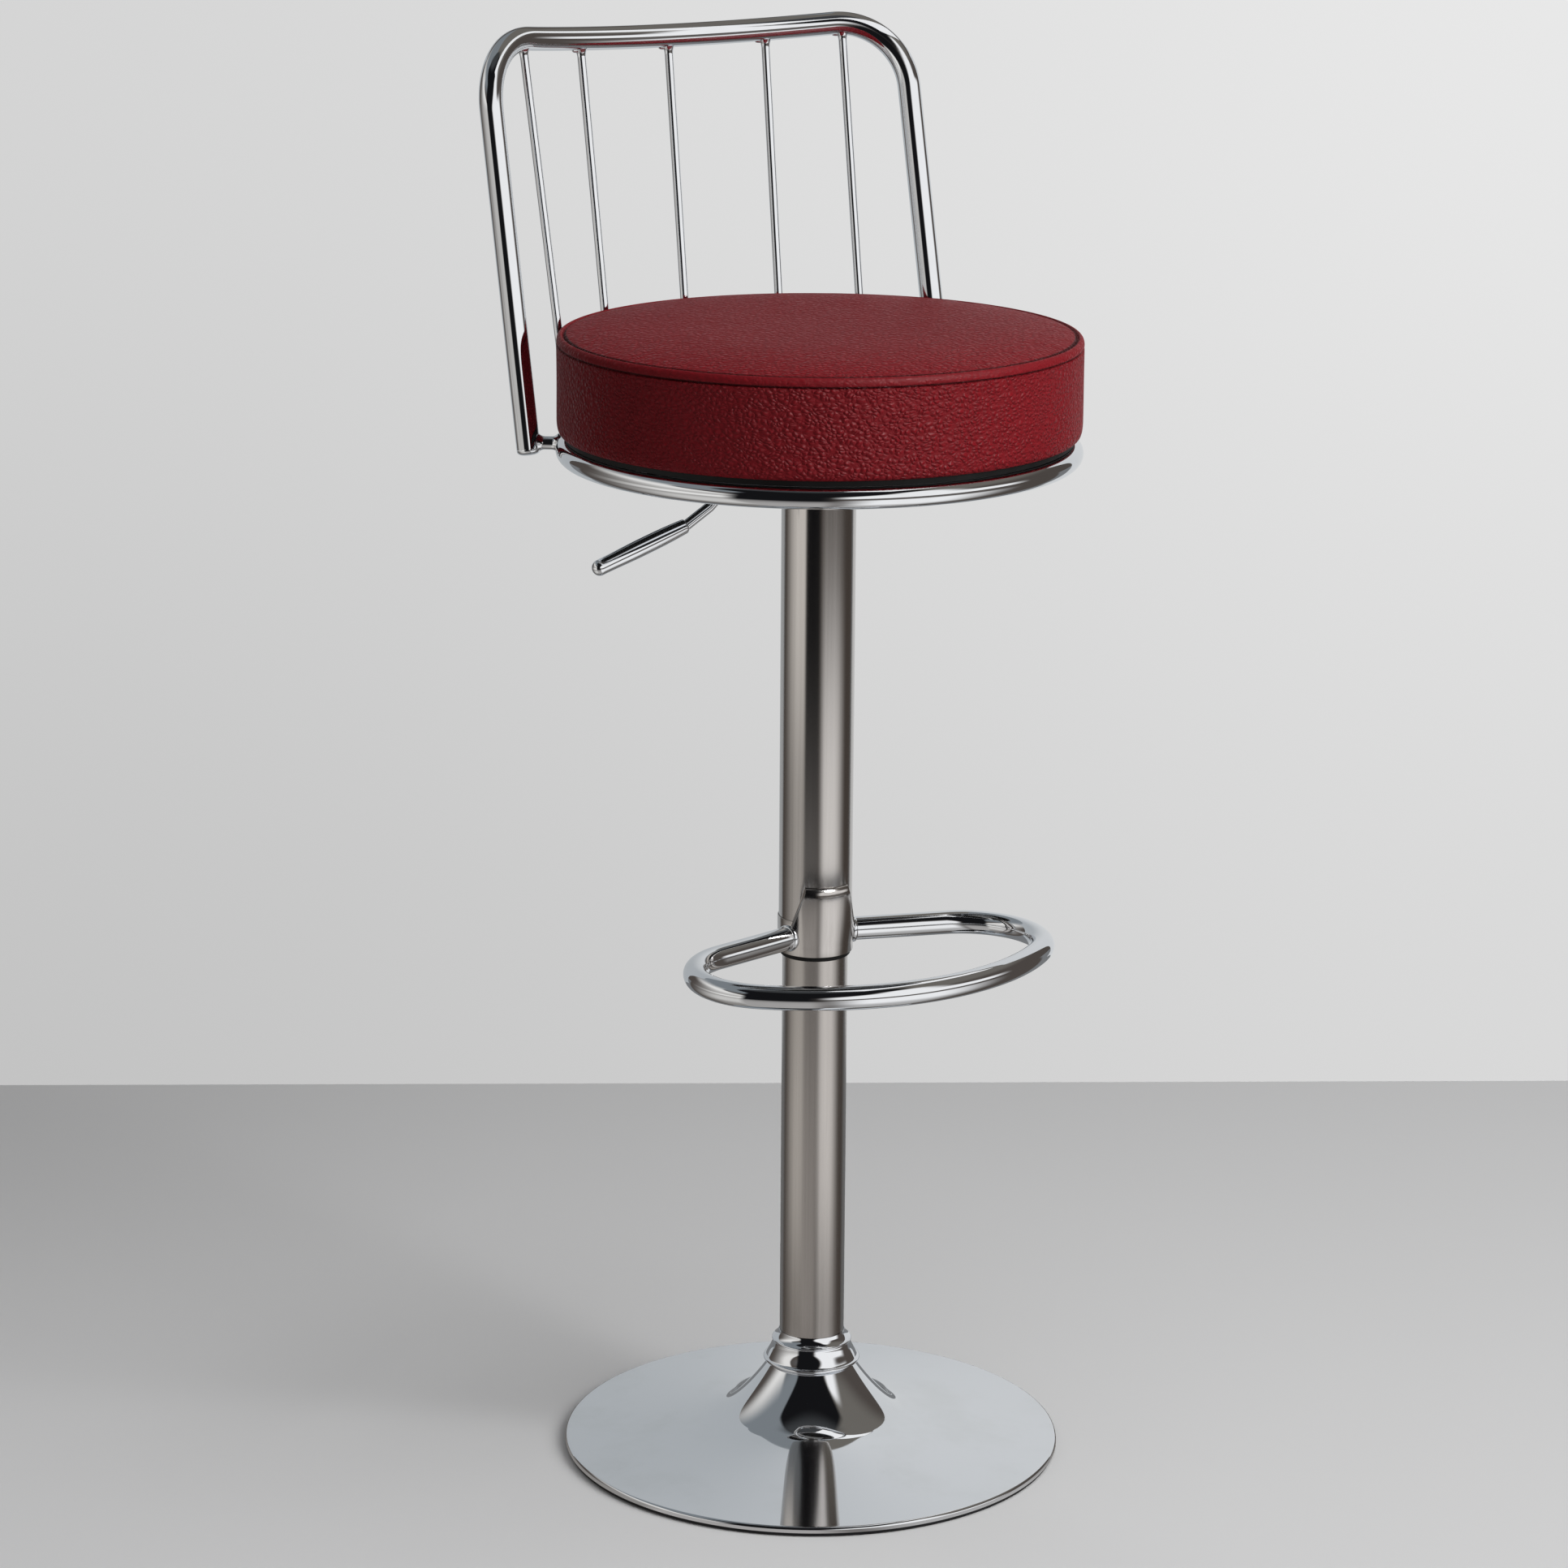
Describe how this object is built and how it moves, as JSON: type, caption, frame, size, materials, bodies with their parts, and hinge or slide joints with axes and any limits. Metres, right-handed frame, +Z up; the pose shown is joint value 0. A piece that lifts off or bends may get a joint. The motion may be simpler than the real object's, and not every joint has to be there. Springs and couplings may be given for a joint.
{
  "type": "counter stool",
  "caption": "Gas-lift counter stool with a round padded seat, a low reclined backrest of thin rods, a release lever, a footrest loop and a weighted trumpet base.",
  "frame": {"origin": "on the column's axis, 1.5 mm below the underside of the base weight, which is the floor", "axes": "+Z up along the column, -Y towards the front where the footrest reaches, +X to the stool's left as its sitter sees it"},
  "size_m": [0.393, 0.4454, 1.0884],
  "materials": {
    "chrome": "mirror polished chrome plate",
    "satin_steel": "satin plated steel tube, warm grey",
    "zinc_steel": "zinc plated pressed steel",
    "cast_iron": "rough cast iron, painted black",
    "black_rubber": "matte black rubber",
    "black_nylon": "black nylon, low sheen",
    "black_board": "plywood board, black stained edge",
    "seat_foam": "pale moulded foam",
    "red_leather": "burgundy pebbled leather, soft sheen"
  },
  "bodies": {
    "base": {"floor_ring": "black_rubber", "base_shell": "chrome", "base_weight": "cast_iron", "column_collar": "chrome", "column_tube": "satin_steel", "column_foot_plate": "zinc_steel", "guide_bush": "black_nylon", "thrust_bearing": "zinc_steel"},
    "spindle": {"piston_rod": "chrome", "piston": "black_nylon", "retaining_clip": "zinc_steel"},
    "seat": {"gas_cylinder": "satin_steel", "taper_socket": "zinc_steel", "mechanism_housing": "zinc_steel", "mechanism_plate": "zinc_steel", "tube_flange": "zinc_steel", "flange_screw_1": "zinc_steel", "flange_screw_2": "zinc_steel", "flange_screw_3": "zinc_steel", "flange_screw_4": "zinc_steel", "outer_tube": "satin_steel", "slide_bush": "black_nylon", "footrest_sleeve": "satin_steel", "footrest_loop": "chrome", "lever_pivot_pin": "zinc_steel", "seat_ring": "chrome", "cross_bar_front": "chrome", "cross_bar_rear": "chrome", "stub_left": "chrome", "stub_right": "chrome", "backrest_frame": "chrome", "leg_plug_left": "chrome", "leg_plug_right": "chrome", "rod_1": "chrome", "rod_2": "chrome", "rod_3": "chrome", "rod_4": "chrome", "rod_5": "chrome", "seat_board": "black_board", "seat_bolt_1": "zinc_steel", "seat_bolt_2": "zinc_steel", "seat_bolt_3": "zinc_steel", "seat_bolt_4": "zinc_steel", "tee_nut_1": "zinc_steel", "tee_nut_2": "zinc_steel", "tee_nut_3": "zinc_steel", "tee_nut_4": "zinc_steel", "cushion_foam": "seat_foam", "cushion_cover": "red_leather"},
    "lever": {"lever_rod": "chrome", "lever_grip": "chrome"},
    "release": {"release_pin": "zinc_steel"}
  },
  "joints": [
    {"name": "swivel", "type": "hinge", "parent": "base", "child": "spindle", "pos_m": [0, 0, 0.022], "axis": [0, 0, 1], "continuous": true},
    {"name": "height", "type": "slide", "parent": "spindle", "child": "seat", "axis": [0, 0, 1], "range_m": [-0.21, 0]},
    {"name": "lever", "type": "hinge", "parent": "seat", "child": "lever", "pos_m": [-0.048, 0, 0.783], "axis": [0, 1, 0], "range_deg": [0, 5.5], "stiffness_Nm_per_rad": 6, "springref_deg": -14.32},
    {"name": "release", "type": "slide", "parent": "seat", "child": "release", "axis": [0, 0, -1], "range_m": [0, 0.0048]}
  ],
  "couplings": [
    {"joint": "release", "follows": "lever", "m_per_rad": 0.048}
  ]
}
